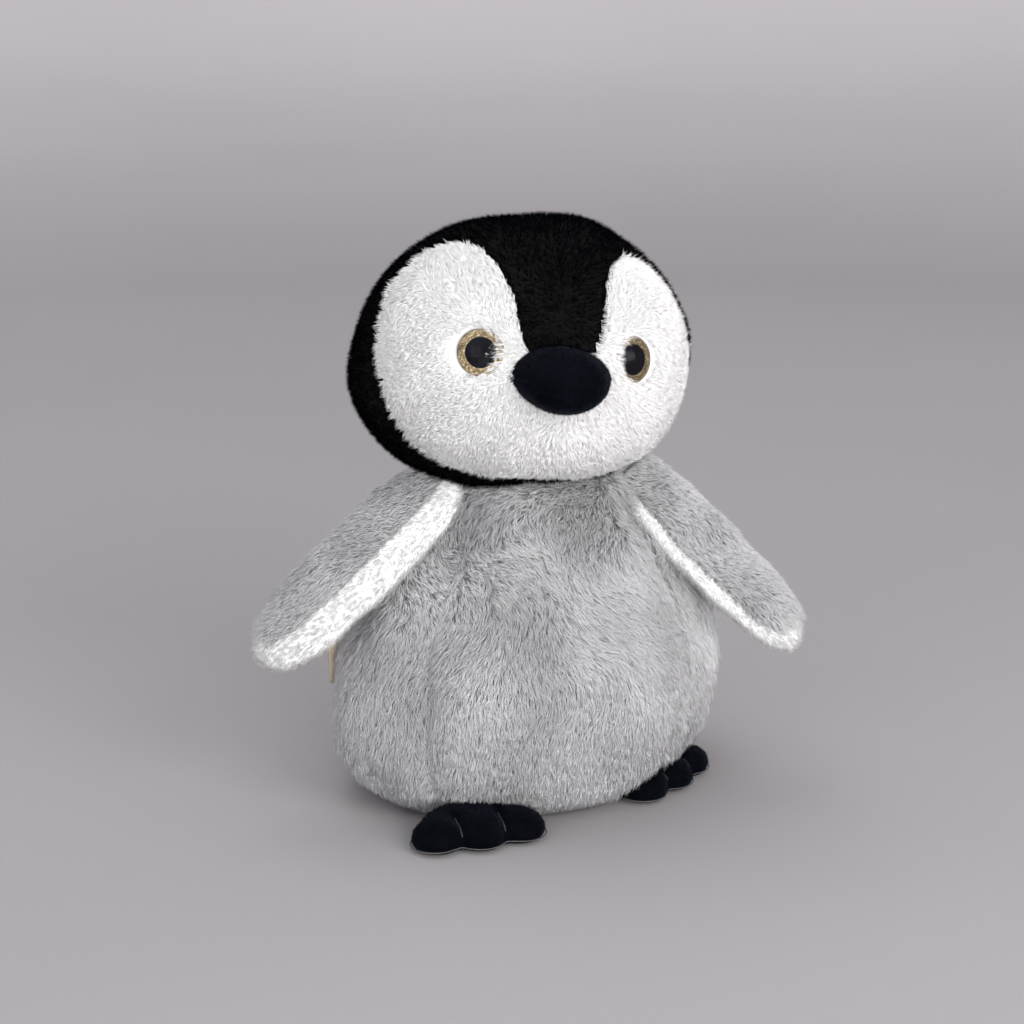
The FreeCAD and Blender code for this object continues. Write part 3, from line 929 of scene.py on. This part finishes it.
def gloss_black_material(name):
    """The pupil's glossy black paint with faint specks of dust."""
    shader = Shader(name)
    dust = shader.noise(2200.0, 3.0, 0.6)
    colour = shader.ramp(dust, [(0.55, (0.003, 0.003, 0.005)), (0.8, (0.012, 0.012, 0.016))])
    return shader.finish(Base_Color=colour, Roughness=0.3, Specular_IOR_Level=0.06)


def clear_dome_material(name):
    """Clear plastic: seen through straight on and shiny at grazing angles."""
    shader = Shader(name)
    clear = shader.add("ShaderNodeBsdfTransparent")
    ripple = shader.bump(shader.noise(300.0, 2.0), 0.05, 0.0002)
    gloss = shader.add("ShaderNodeBsdfGlossy", Roughness=0.06, Normal=ripple)
    facing = shader.add("ShaderNodeFresnel", IOR=1.2)
    inside = shader.add("ShaderNodeNewGeometry").outputs["Backfacing"]
    outside = shader.add("ShaderNodeMath", {"operation": "SUBTRACT"})
    outside.inputs[0].default_value = 1.0
    shader.links.new(inside, outside.inputs[1])
    share = shader.add("ShaderNodeMath", {"operation": "MULTIPLY"})
    shader.links.new(facing.outputs["Fac"], share.inputs[0])
    shader.links.new(outside.outputs["Value"], share.inputs[1])
    mix = shader.add("ShaderNodeMixShader", Fac=share.outputs["Value"])
    shader.links.new(clear.outputs["BSDF"], mix.inputs[1])
    shader.links.new(gloss.outputs["BSDF"], mix.inputs[2])
    output = shader.nodes["Material Output"]
    shader.links.new(mix.outputs["Shader"], output.inputs["Surface"])
    shader.nodes.remove(shader.skin)
    return shader.material


def moulded_material(name, dark, light):
    """Plain moulded plastic with a fine sparked grain."""
    shader = Shader(name)
    grain = shader.noise(1600.0, 3.0, 0.6)
    colour = shader.ramp(grain, [(0.35, dark), (0.65, light)])
    return shader.finish(Base_Color=colour, Roughness=0.45, Normal=shader.bump(grain, 0.3, 0.0002))


def backdrop_material():
    """Seamless paper in a warm mauve grey, with painted light that keeps it darker near the toy and paler
    towards the wall, and faint clouds.
    """
    shader = Shader("backdrop_paper")
    place = shader.add("ShaderNodeTexCoord").outputs["Object"]
    outward = shader.add("ShaderNodeVectorMath", {"operation": "LENGTH"})
    shader.links.new(place, outward.inputs[0])
    share = shader.add("ShaderNodeMath", {"operation": "DIVIDE"})
    shader.links.new(outward.outputs["Value"], share.inputs[0])
    share.inputs[1].default_value = WALL_DISTANCE
    # Painted light: darker on the floor near the toy, paler towards and up the wall.
    paper = shader.ramp(share.outputs[0], [(0.35, (0.295, 0.282, 0.288)), (0.95, (0.68, 0.655, 0.667))])
    clouds = shader.ramp(shader.noise(1.3, 3.0), [(0.3, grey(0.93)), (0.7, grey(1.0))])
    colour = shader.multiply(paper, clouds)
    grain = shader.noise(900.0, 3.0, 0.6)
    return shader.finish(Base_Color=colour, Roughness=0.95, Normal=shader.bump(grain, 0.08, 0.0005))


def all_materials():
    grey_stops = [(0.0, (0.34, 0.335, 0.35)), (0.35, (0.54, 0.535, 0.55)), (1.0, (0.92, 0.918, 0.928))]
    white_stops = [(0.0, grey(0.80)), (0.3, (0.90, 0.895, 0.89)), (1.0, (0.96, 0.955, 0.95))]
    # Painted shade: the lining's pile is the face's white darkened, for the shade that the flippers' white
    # sides lie in.
    lining_painted_shade_stops = [(0.0, grey(0.52)), (0.3, (0.60, 0.597, 0.59)), (1.0, (0.67, 0.666, 0.66))]
    black_stops = [(0.0, (0.0006, 0.0006, 0.001)), (1.0, (0.0026, 0.0028, 0.0045))]
    blue_stops = [(0.0, (0.0005, 0.0005, 0.001)), (1.0, (0.0018, 0.0023, 0.0042))]
    return {
        "grey_pile": pile_material("grey_pile", grey_stops, grey(0.52), grey(1.0)),
        "white_pile": pile_material("white_pile", white_stops, grey(0.90), grey(1.0)),
        "lining_pile": pile_material("lining_pile", lining_painted_shade_stops, grey(0.90), grey(1.0)),
        "black_pile": pile_material("black_pile", black_stops, grey(0.4), grey(1.0), 1.0, 0.0, 1.03),
        "blue_pile": pile_material("blue_pile", blue_stops, grey(0.4), grey(1.0), 0.9, 0.0, 1.05),
        "grey_backing": backing_material("grey_backing", grey(0.24), grey(0.34)),
        "white_backing": backing_material("white_backing", grey(0.74), grey(0.84)),
        "black_backing": backing_material("black_backing", grey(0.003), grey(0.006)),
        "velour": velour_material("velour", (0.0008, 0.001, 0.0018), (0.0018, 0.0024, 0.0045),
                                  (0.45, 0.55, 0.8)),
        "base_cloth": woven_material("base_cloth", grey(0.22), grey(0.36)),
        "pouch_cloth": woven_material("pouch_cloth", (0.50, 0.48, 0.42), (0.74, 0.72, 0.66)),
        "label_tape": woven_material("label_tape", (0.26, 0.20, 0.14), (0.44, 0.37, 0.29), 3000.0),
        "fibre": fibre_material("fibre"),
        "pellets": pellet_material("pellets"),
        "grey_thread": thread_material("grey_thread", grey(0.32), grey(0.50)),
        "pale_thread": thread_material("pale_thread", (0.03, 0.03, 0.032), (0.07, 0.069, 0.07)),
        "black_thread": thread_material("black_thread", grey(0.008), grey(0.02)),
        "glitter": glitter_material("glitter"),
        "pupil": gloss_black_material("pupil"),
        "dome": clear_dome_material("dome"),
        "washer": moulded_material("washer", (0.74, 0.74, 0.70), (0.84, 0.84, 0.81)),
        "shank": moulded_material("shank", grey(0.012), grey(0.02)),
    }


# ---- the toy's pieces ----

def sideways(side):
    return lambda p: p[:, 0] * SIDES[side] > 0


def both(*tests):
    return lambda p: np.logical_and.reduce([test(p) for test in tests])


def on_belly(p):
    return (past_seam(p, "left") < 0) & (past_seam(p, "right") < 0) & (p[:, 1] < 0)


def above_base(p):
    return p[:, 2] > BASE_TOP


def body_flow(p):
    """Down the body, swirling over the chest."""
    ways = np.tile((0.0, 0.0, -1.0), (len(p), 1))
    ways[:, 0] += 0.9 * waves(p, 60, 21) * np.clip((p[:, 2] - 30) / 50, 0.25, 1)
    ways[:, 1] += 0.5 * waves(p, 55, 22) * np.clip((p[:, 2] - 30) / 50, 0.25, 1)
    return ways


def body_tone_and_painted_light(p):
    # Painted light and shade over tone that differs at random: the fur is painted paler towards the hem,
    # which the lamps above light less, and darker over the chest, which they light more.
    hem = np.clip((45 - p[:, 2]) / 60, 0, 1)
    chest = np.clip((p[:, 2] - 70) / 60, 0, 1)
    return 0.66 + 0.20 * waves(p, 38, 23) + 0.40 * hem - 0.40 * chest


def build_body(form, mesh, looks):
    shape_body(mesh)
    planes = [((0, 0, BASE_TOP), (0, 0, 1)), ((0, 0, 0), (1, 0, 0))]
    for side, sign in SIDES.items():
        angle = math.radians(BELLY_SEAMS[side])
        planes.append(((0, 0, 0), (sign * math.cos(angle), math.sin(angle), 0)))
    cut_along(mesh, form.place, planes)
    grey_long, backing = "grey_long_plush", looks["grey_backing"]
    panel("belly", form, mesh, both(above_base, on_belly), backing, ["belly_panel"])
    for side in SIDES:
        on_back = both(above_base, lambda p: ~on_belly(p), sideways(side))
        panel(f"back_{side}", form, mesh, on_back, backing, [f"back_panel_{side}"])
    panel("base", form, mesh, lambda p: ~above_base(p), looks["base_cloth"],
          ["base_panel"], thick=0.6)
    wadding("body_fibre", form, mesh, ["body_stuffing"], 2.6, looks["fibre"])
    parts = {"belly_pile": on_belly, "back_left_pile": lambda p: ~on_belly(p) & (p[:, 0] > 0),
             "back_right_pile": lambda p: ~on_belly(p) & (p[:, 0] <= 0)}
    for seed, (name, where) in enumerate(parts.items(), start=31):
        grow(name, form, mesh, LONG_PILE, both(above_base, where), body_flow, body_tone_and_painted_light,
             looks["grey_pile"], seed)
    closing_stitches(mesh, looks)


def closing_stitches(mesh, looks):
    """The ladder stitch that closes the centre back seam."""
    work = bmesh.new()
    work.from_mesh(mesh)
    tree = BVHTree.FromBMesh(work)
    work.free()
    low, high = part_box("back_closing_stitches")
    threads = []
    for z in np.linspace(low[2], high[2], 9):
        route = []
        for x in np.linspace(-2.5, 2.5, 6):
            hit = tree.ray_cast(Vector((x * MM, 0.2, z + 0.25 * x * MM)), Vector((0, -1, 0)))[0]
            arch = 0.5 * math.cos(x / 2.5 * math.pi / 2)
            route.append(hit + Vector((0, (arch + 0.1) * MM, 0)))
        threads.append(tube("ladder", route, 0.35))
    piece = new_piece("closing_ladder_stitch", joined("closing_ladder_stitch", threads), "body",
                      looks["grey_thread"])
    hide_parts("back_closing_stitches")


def face_flow(p):
    """Away from the bill."""
    away = p - np.array([BEAK_CENTRE[0], -50, BEAK_CENTRE[2] + 4.0])
    away[:, 1] = 0
    away = unit(away)
    away[:, 0] += 0.6 * waves(p, 26, 41)
    away[:, 2] += 0.6 * waves(p, 26, 42) - 0.15
    return away


def cap_flow(p):
    """Back over the crown and down."""
    ways = np.column_stack([0.3 * np.sign(p[:, 0]), np.full(len(p), 0.8), np.full(len(p), -0.55)])
    ways[:, 0] += 0.4 * waves(p, 30, 43)
    return ways


def clear_of_fittings(p):
    """Where the head's pile may grow: not under the eyes or the bill."""
    points = world(p, HEAD_PLACE)
    clear = np.ones(len(p), bool)
    for side in SIDES:
        q = local(points, eye_place(side))
        clear &= (from_socket(q, side) > EYE_RADIUS) | (q[:, 2] < -12)
    bill = (p[:, 0] / (BEAK_RADII[0] - 1.5)) ** 2 + ((p[:, 2] - BEAK_CENTRE[2]) / (BEAK_RADII[2] - 1.5)) ** 2
    return clear & ((bill > 1) | (p[:, 1] > 0))


def even_shade(p):
    return 0.55 + 0.2 * waves(p, 20, 44)


def build_head(form, mesh, looks):
    shape_head(mesh)
    cut_along(mesh, form.place, [((0, 0, 0), (1, 0, 0))])
    for side in SIDES:
        on_face = both(in_face, sideways(side))
        on_cap = both(lambda p: ~in_face(p), sideways(side))
        panel(f"cheek_{side}", form, mesh, on_face, looks["white_backing"], [f"face_{side}"])
        panel(f"cap_{side}", form, mesh, on_cap, looks["black_backing"], [f"head_cap_{side}"])
        seed = 51 if side == "left" else 52
        grow(f"cheek_{side}_pile", form, mesh, FACE_PILE, both(on_face, clear_of_fittings), face_flow,
             even_shade, looks["white_pile"], seed)
        grow(f"cap_{side}_pile", form, mesh, CAP_PILE, both(on_cap, clear_of_fittings), cap_flow,
             even_shade, looks["black_pile"], seed + 2)
    wadding("head_fibre", form, mesh, ["head_stuffing"], 2.4, looks["fibre"])


def build_beak(form, mesh, looks):
    shape_beak(mesh)
    cut_along(mesh, form.place, [((0, 0, BEAK_CENTRE[2] - 0.6), (0, 0, 1))])
    upper = lambda p: p[:, 2] > BEAK_CENTRE[2] - 0.6
    for name, where in (("upper", upper), ("lower", lambda p: ~upper(p))):
        panel(f"bill_{name}", form, mesh, where, looks["velour"], [f"beak_{name}"], thick=0.8)
    wadding("bill_fibre", form, mesh, ["beak_stuffing"], 1.4, looks["fibre"])
    grow("bill_nap", form, mesh, VELOUR_PILE, lambda p: p[:, 1] < -58, cap_flow, even_shade,
         looks["blue_pile"], 57)


def flipper_front(p, side):
    """How far a point lies towards the flipper's front edge, and the half width there."""
    levels = np.array(FLIPPER_LEVELS)
    return -SIDES[side] * p[:, 1] - FLIPPER_FORWARD, np.interp(p[:, 0], levels[:, 0], levels[:, 1])


def build_flipper(form, mesh, side, looks):
    shape_flipper(mesh, side)
    cut_along(mesh, form.place, [((0, 0, 0), (0, 0, 1))])

    def outer(p):
        front, half = flipper_front(p, side)
        return (p[:, 2] > 0) & (front < half - LINING_WRAP[side]) & (p[:, 0] < 93)

    def outward_flow(p):
        ways = np.tile((1.0, 0.0, 0.0), (len(p), 1))
        ways[:, 1] += 0.35 * waves(p, 30, 61)
        return ways

    def shade(p):
        return 0.42 + 0.2 * waves(p, 30, 62)

    def long_enough(p):
        return outer(p) & (p[:, 0] > -8)

    panel(f"flipper_{side}_fur_side", form, mesh, outer, looks["grey_backing"],
          [f"flipper_{side}_outer"])
    panel(f"flipper_{side}_white_side", form, mesh, lambda p: ~outer(p), looks["white_backing"],
          [f"flipper_{side}_lining"])
    wadding(f"flipper_{side}_fibre", form, mesh, [f"flipper_{side}_stuffing"], 1.8, looks["fibre"])
    seed = 71 if side == "left" else 72
    grow(f"flipper_{side}_long_pile", form, mesh, FLIPPER_PILE, long_enough, outward_flow, shade,
         looks["grey_pile"], seed)
    # The lining's pile takes the darkened white with painted shade.
    grow(f"flipper_{side}_lining_pile", form, mesh, LINING_PILE, lambda p: ~outer(p), outward_flow,
         even_shade, looks["lining_pile"], seed + 2)


def build_foot(form, mesh, side, looks):
    shape_foot(mesh, side)
    cut_along(mesh, form.place, [((0, 0, SOLE_SEAM), (0, 0, 1))])

    def upper(p):
        return p[:, 2] > SOLE_SEAM

    panel(f"foot_{side}_velour", form, mesh, upper, looks["velour"],
          [f"foot_{side}_upper"], thick=0.8)
    panel(f"foot_{side}_sole_cloth", form, mesh, lambda p: ~upper(p), looks["velour"],
          [f"foot_{side}_sole"], thick=0.5)
    wadding(f"foot_{side}_fibre", form, mesh, [f"foot_{side}_stuffing"], 1.3, looks["fibre"])
    seed = 81 if side == "left" else 82
    grow(f"foot_{side}_nap", form, mesh, VELOUR_PILE, upper, lambda p: p * (1, 1, 0) - (0, 8, 0), even_shade,
         looks["blue_pile"], seed)
    foot_threads(form, mesh, side, looks)


def foot_threads(form, mesh, side, looks):
    """The thread in the sole seam and the stitches that shape the toes."""
    edge = foot_ring(1.0, SOLE_SEAM)
    route = world(edge[::2] + (0, 0, 0.1), form.place)
    seam = tube("sole_seam", route, 0.28, closed=True)
    new_piece(f"foot_{side}_sole_seam", seam, form.body, looks["pale_thread"])
    work = bmesh.new()
    work.from_mesh(mesh)
    tree = BVHTree.FromBMesh(work)
    work.free()
    threads = []
    for x in (-TOE_SPREAD / 2, TOE_SPREAD / 2):
        route = []
        for y in np.linspace(-17, -29, 9):
            above = world(np.array([[x, y, 40.0]]), form.place)[0]
            hit = tree.ray_cast(Vector(above), Vector((0, 0, -1)))[0]
            if hit:
                route.append(hit + Vector((0, 0, 0.15 * MM)))
        threads.append(tube("toe", route, 0.4))
    piece = new_piece(f"foot_{side}_toe_threads", joined("toes", threads), form.body,
                      looks["black_thread"])
    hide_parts(f"foot_{side}_toe_stitches")


def build_neck(looks):
    """The ball of filling that the head turns on."""
    low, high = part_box("neck_stuffing")
    middle = (Vector(low) + Vector(high)) / 2 / MM
    radius = (high[0] - low[0]) / 2 / MM
    across, deep = oval(48)
    rings = []
    for degrees in range(-84, 85, 8):
        c, s = math.cos(math.radians(degrees)), math.sin(math.radians(degrees))
        rings.append(np.column_stack([across, deep, np.zeros(48)]) * radius * c
                     + (middle.x, middle.y, middle.z + radius * s))
    mesh = ring_mesh("neck_fibre", rings, np.eye(4))
    points, normals = read_points(mesh), read_normals(mesh)
    lumps = 0.6 * waves(points / MM, 9, 91) - 0.6
    write_points(mesh, points + normals * MM * lumps[:, None])
    piece = new_piece("neck_fibre", mesh, "neck", looks["fibre"])
    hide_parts("neck_stuffing")


def build_label(looks):
    """A blank folded tape that curls out of the side seam."""
    low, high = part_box("care_label")
    middle = (Vector(low) + Vector(high)) / 2 / MM
    half = (high[2] - low[2]) / 2 / MM
    rows = []
    for z in np.linspace(-half, half, 14):
        reach = np.linspace(-4.5, 4.5, 12)
        curl = 0.9 * np.sin(reach / 4.5 * 1.6) + 0.5 * math.sin(z / half * 2)
        rows.append(np.column_stack([middle.x - reach, middle.y + curl, np.full(12, middle.z + z)]))
    grid = np.array(rows)
    faces = [(r * 12 + c, r * 12 + c + 1, r * 12 + c + 13, r * 12 + c + 12)
             for r in range(13) for c in range(11)]
    mesh = bpy.data.meshes.new("blank_label")
    mesh.from_pydata((grid.reshape(-1, 3) * MM).tolist(), [], faces)
    piece = new_piece("blank_label", mesh, "body", looks["label_tape"])
    solid = piece.modifiers.new("Solidify", "SOLIDIFY")
    solid.thickness = 0.5 * MM
    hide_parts("care_label")


def repaint_frame(looks):
    """Finishes for the CAD pieces that stay."""
    paints = {"pellet_pouch": "pouch_cloth", "pellet_fill": "pellets", "neck_seam_thread": "grey_thread"}
    for side in SIDES:
        paints.update({
            f"eye_dome_{side}": "dome", f"eye_glitter_iris_{side}": "glitter",
            f"eye_pupil_{side}": "pupil", f"eye_shank_{side}": "shank",
            f"eye_washer_{side}": "washer", f"flipper_{side}_seam_thread": "grey_thread",
        })
    for node, look in paints.items():
        thing = frame["nodes"][node]
        for place in thing.material_slots:
            place.material = looks[look]


# ---- studio ----

def build_backdrop(looks):
    """A pale floor that curves up into a wall all round, far enough out for every view."""
    profile = [(0.0, 0.0), (1.2, 0.0), (2.2, 0.0), (2.8, 0.08), (3.2, 0.35), (3.45, 0.9),
               (WALL_DISTANCE, 1.8), (WALL_DISTANCE, 3.2)]
    radii = smooth_rows(profile, 5)
    columns = 96
    turn = np.linspace(0, 2 * math.pi, columns, endpoint=False)
    points = [(r * math.cos(t), r * math.sin(t), max(z, 0)) for r, z in radii[1:] for t in turn]
    points.append((0, 0, 0))
    faces = [(len(points) - 1, c, (c + 1) % columns) for c in range(columns)]
    for r in range(len(radii) - 2):
        for c in range(columns):
            n = (c + 1) % columns
            faces.append((r * columns + c, (r + 1) * columns + c, (r + 1) * columns + n, r * columns + n))
    mesh = bpy.data.meshes.new("backdrop")
    mesh.from_pydata(points, [], faces)
    mesh.materials.append(backdrop_material())
    sweep = bpy.data.objects.new("backdrop", smooth_shaded(mesh))
    bpy.context.scene.collection.objects.link(sweep)


def soft_light(name, place, power, size, colour=(1, 1, 1)):
    """A square soft box that faces the toy."""
    lamp = bpy.data.lights.new(name, "AREA")
    lamp.energy, lamp.size, lamp.color = power, size, colour
    holder = bpy.data.objects.new(name, lamp)
    bpy.context.scene.collection.objects.link(holder)
    holder.location = place
    holder.visible_camera = False
    holder.rotation_euler = (Vector(place) - Vector((0, 0, 0.12))).to_track_quat("Z", "Y").to_euler()


def build_lights():
    soft_light("key", (0.5, -1.9, 1.0), 29, 1.2, (1.0, 0.985, 0.97))
    soft_light("fill", (-1.6, -1.2, 0.7), 13, 1.4, (0.96, 0.98, 1.0))
    soft_light("low", (-0.4, -1.9, 0.32), 27, 0.6)
    soft_light("top", (-0.3, 0.6, 2.1), 12, 1.2)
    world_light = bpy.data.worlds.new("studio")
    world_light.use_nodes = True
    background = world_light.node_tree.nodes["Background"]
    background.inputs["Color"].default_value = (0.86, 0.86, 0.9, 1)
    background.inputs["Strength"].default_value = 1.15
    bpy.context.scene.world = world_light
    bpy.context.scene.view_settings.view_transform = "Standard"


def build_camera():
    around, above = math.radians(-26), math.radians(16)
    back = Vector((math.sin(around) * math.cos(above), -math.cos(around) * math.cos(above), math.sin(above)))
    lens = bpy.data.cameras.new("camera")
    lens.lens, lens.sensor_width = 90, 36
    lens.shift_x, lens.shift_y = -0.0137, -0.0039
    camera = bpy.data.objects.new("camera", lens)
    bpy.context.scene.collection.objects.link(camera)
    camera.location = Vector((0, 0, 0.128)) + back * 1.150
    camera.rotation_euler = back.to_track_quat("Z", "Y").to_euler()
    bpy.context.scene.camera = camera


def build_toy(looks):
    forms = all_forms()
    meshes = stuffed(forms)
    for form in forms:
        mesh = meshes[form.name]
        kind, _, side = form.name.partition("_")
        if kind == "body":
            build_body(form, mesh, looks)
        elif kind == "head":
            build_head(form, mesh, looks)
        elif kind == "beak":
            build_beak(form, mesh, looks)
        elif kind == "flipper":
            build_flipper(form, mesh, side, looks)
        else:
            build_foot(form, mesh, side, looks)
    build_neck(looks)
    build_label(looks)
    repaint_frame(looks)


build_camera()
build_lights()
looks = all_materials()
build_backdrop(looks)
build_toy(looks)
